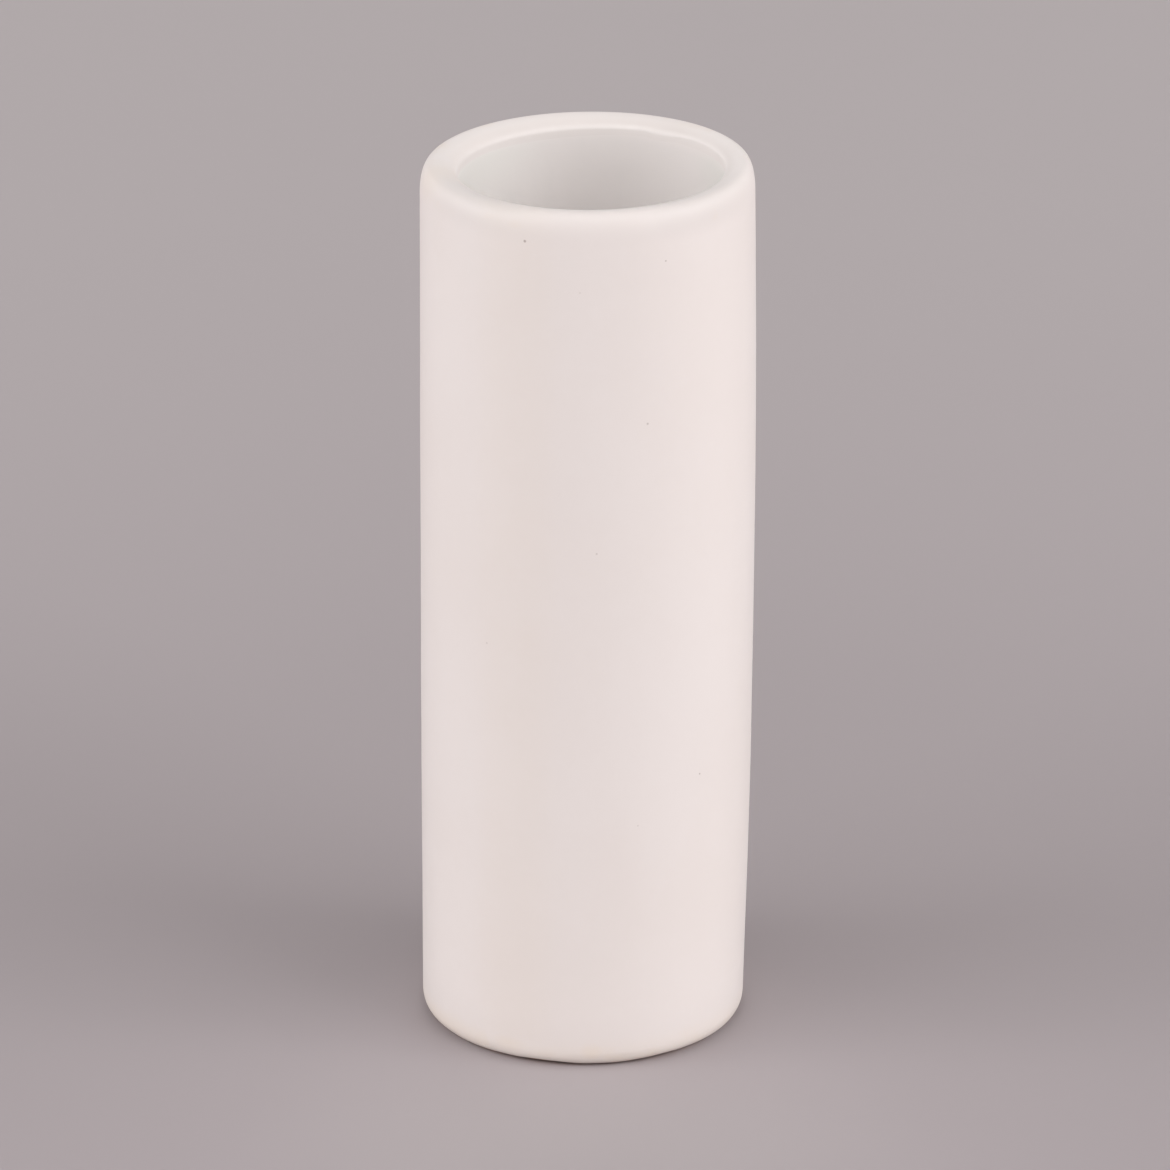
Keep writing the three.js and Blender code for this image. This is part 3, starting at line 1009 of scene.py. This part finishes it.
# The camera's sensor in millimetres, and the nearest and farthest that it sees in metres
SENSOR_WIDTH = 36
NEAREST, FARTHEST = 0.05, 20


def paper_floor(stage):
    """Pale grey paper, with painted light that makes it a little paler in front of the vase and far behind
    it.
    """
    shader = material("Paper floor")
    place = shader.place()
    y = shader.split(place)[1]
    fibre = shader.noise(place, *FLOOR_FIBRE)
    # Painted light on the paper in front of the vase and far behind it
    front_painted_light = shader.fade(shader.distance(place, FRONT_LIGHT_MIDDLE), *FRONT_LIGHT_REACH)
    near = shader.mix(stage.floor, stage.front, front_painted_light)
    far = shader.mix(near, stage.far, shader.step(y + fibre * FIBRE_SHIFT, *FAR_LIGHT_DEPTHS))
    return shader.surface(Base_Color=far, Roughness=0.8, Specular_IOR_Level=0.2)


def add_floor(stage):
    """A round floor that curves up into a low backdrop all round."""
    flat = FLOOR_REACH - SWEEP_RADIUS
    section = [(r, 0) for r in spread(0, flat, SWEEP_ROWS)[1:]]
    for bend in spread(0, math.pi / 2, SWEEP_ROWS)[1:]:
        section.append((flat + SWEEP_RADIUS * math.sin(bend), SWEEP_RADIUS * (1 - math.cos(bend))))
    count = len(section)
    points = [(0, 0, 0)]
    faces = []
    for i in range(FLOOR_TURNS):
        turn = math.tau * i / FLOOR_TURNS
        points += [(r * math.cos(turn), r * math.sin(turn), height) for r, height in section]
        here, there = 1 + i * count, 1 + (i + 1) % FLOOR_TURNS * count
        faces.append((0, here, there))
        for j in range(count - 1):
            faces.append((here + j, here + j + 1, there + j + 1, there + j))
    floor = add_mesh("floor", points, faces)
    dress(floor, paper_floor(stage))


def vase_middle(scene):
    """The middle of the vase's height, on its axis."""
    return Vector((0, 0, scene.vase_form.height / 2))


def add_lamp(scene, name, watts, azimuth, rise, width, height):
    """A soft lamp that faces the vase, at a turn from the front to the right and a rise in degrees."""
    data = bpy.data.lights.new(name, "AREA")
    data.shape = "RECTANGLE"
    data.size = width
    data.size_y = height
    data.energy = watts
    lamp = add_object(name, data)
    turn, tilt = math.radians(azimuth), math.radians(rise)
    way = Vector((math.sin(turn) * math.cos(tilt), -math.cos(turn) * math.cos(tilt), math.sin(tilt)))
    lamp.location = way * scene.vase_stage.lamp_distance + vase_middle(scene)
    lamp.rotation_euler = way.to_track_quat("Z", "Y").to_euler()
    lamp.visible_camera = False


def light_room(scene):
    """A high light in front, a low one behind, and plain paper where the camera sees past the floor."""
    stage = scene.vase_stage
    scene.world = bpy.data.worlds.new("Room")
    shader = Shader(scene.world)
    _, y, rise = shader.split(shader.add("ShaderNodeTexCoord", output="Generated"))
    high = shader.step(rise, *HIGH_BOTTOM) * shader.fade(rise, *HIGH_TOP) * shader.fade(y, *HIGH_FRONT)
    low = shader.fade(rise, *LOW_TOP) * shader.step(y, *LOW_BACK)
    strength = high * stage.window + low * stage.dusk
    rays = ("Is Camera Ray", "Is Glossy Ray", "Is Transmission Ray")
    camera, glossy, through = (shader.add("ShaderNodeLightPath", output=ray) for ray in rays)
    light = shader.add("ShaderNodeBackground", (), {"Color": (1, 1, 1, 1), "Strength": strength})
    paper = shader.add("ShaderNodeBackground", (), {"Color": (*stage.paper, 1), "Strength": 1.0})
    both = shader.add("ShaderNodeMixShader", (), {0: camera | glossy | through, 1: light, 2: paper})
    shader.add_output("ShaderNodeOutputWorld", both)


def aim_camera(scene):
    """Looks at the vase from the front and a little above, through a long lens."""
    stage = scene.vase_stage
    back = Vector((0, -math.cos(stage.elevation), math.sin(stage.elevation)))
    above = Vector((0, math.sin(stage.elevation), math.cos(stage.elevation)))
    level = Vector((1, 0, 0))
    right = level * math.cos(stage.roll) - above * math.sin(stage.roll)
    up = level * math.sin(stage.roll) + above * math.cos(stage.roll)
    data = bpy.data.cameras.new("Camera")
    data.lens = stage.lens
    data.sensor_width = SENSOR_WIDTH
    data.clip_start = NEAREST
    data.clip_end = FARTHEST
    camera = add_object("Camera", data)
    place = vase_middle(scene) + back * stage.distance + up * stage.lift
    camera.matrix_world = Matrix.Translation(place) @ Matrix((right, up, back)).transposed().to_4x4()
    scene.camera = camera


class VASE_OT_stage(bpy.types.Operator):
    """Sets the pale floor, the five soft lamps, the room's high and low lights and the camera"""

    bl_idname = "vase.stage"
    bl_label = "Stage"

    def execute(self, context):
        scene = context.scene
        scene.view_settings.view_transform = "Standard"
        add_floor(scene.vase_stage)
        for name, whose, azimuth, rise, width, height in LAMPS:
            add_lamp(scene, name, getattr(scene.vase_stage, whose), azimuth, rise, width, height)
        light_room(scene)
        aim_camera(scene)
        return {"FINISHED"}


GROUPS = {"vase_form": VaseForm, "vase_glaze": VaseGlaze, "vase_finish": VaseFinish, "vase_stage": VaseStage}
OPERATORS = (
    VASE_OT_outer_glaze,
    VASE_OT_liner_glaze,
    VASE_OT_base,
    VASE_OT_clay,
    VASE_OT_stage,
)


class VASE_PT_panel(bpy.types.Panel):
    """The vase's operators and their sizes and colours"""

    bl_label = "Cylinder Vase"
    bl_idname = "VASE_PT_panel"
    bl_space_type = "VIEW_3D"
    bl_region_type = "UI"
    bl_category = "Vase"

    def draw(self, context):
        for operator in OPERATORS:
            self.layout.operator(operator.bl_idname)
        for name, group in GROUPS.items():
            box = self.layout.box()
            for key in group.__annotations__:
                box.prop(getattr(context.scene, name), key)


def register():
    """Registers the classes and gives the scene their properties."""
    for group in GROUPS.values():
        bpy.utils.register_class(group)
    for name, group in GROUPS.items():
        setattr(bpy.types.Scene, name, PointerProperty(type=group))
    for operator in OPERATORS:
        bpy.utils.register_class(operator)
    bpy.utils.register_class(VASE_PT_panel)


def unregister():
    """Takes back what register has done."""
    bpy.utils.unregister_class(VASE_PT_panel)
    for operator in reversed(OPERATORS):
        bpy.utils.unregister_class(operator)
    for name, group in GROUPS.items():
        delattr(bpy.types.Scene, name)
        bpy.utils.unregister_class(group)


def main():
    """Builds everything in order."""
    register()
    bpy.ops.vase.outer_glaze()
    bpy.ops.vase.liner_glaze()
    bpy.ops.vase.base()
    bpy.ops.vase.clay()
    bpy.ops.vase.stage()


if __name__ == "__main__":
    main()
